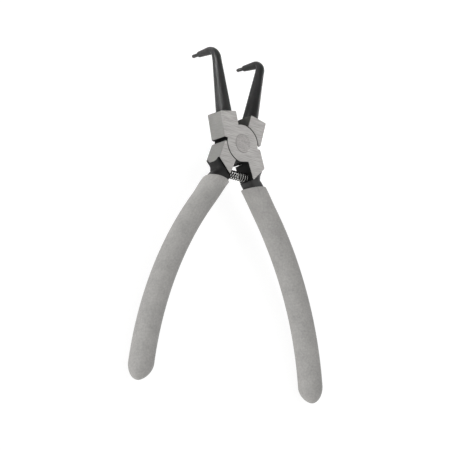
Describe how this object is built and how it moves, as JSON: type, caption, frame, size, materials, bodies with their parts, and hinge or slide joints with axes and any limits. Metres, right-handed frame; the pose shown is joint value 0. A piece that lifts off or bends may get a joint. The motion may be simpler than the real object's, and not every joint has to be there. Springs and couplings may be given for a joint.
{
  "type": "circlip pliers",
  "caption": "Internal circlip pliers with right-angle bent jaws, slim round tips, a riveted lap joint, a return spring and soft sleeved handles; squeezing the handles closes the tips.",
  "frame": {"origin": "on the pivot axis, at the underside of the ground joint", "axes": "+Y towards the jaws, +Z along the pivot axis, away from the side that the tips point to"},
  "size_m": [0.1152, 0.1717, 0.0256],
  "materials": {
    "forged_steel": "black phosphated forging, joint faces ground bright",
    "ground_steel": "ground",
    "spring_steel": "oiled wire",
    "pvc_sleeve": "matt, fine grain",
    "tip_steel": "black, satin"
  },
  "bodies": {
    "front": {"front_lever": "forged_steel", "pivot_rivet": "ground_steel", "return_spring": "spring_steel", "front_grip": "pvc_sleeve", "front_tip_pin": "tip_steel"},
    "back": {"back_lever": "forged_steel", "back_grip": "pvc_sleeve", "back_tip_pin": "tip_steel"}
  },
  "joints": [
    {"name": "squeeze", "type": "hinge", "parent": "front", "child": "back", "pos_m": [0, 0, 0.00525], "axis": [0, 0, 1], "range_deg": [-9, 28.5], "stiffness_Nm_per_rad": 0.35, "deforming": ["return_spring"]}
  ]
}
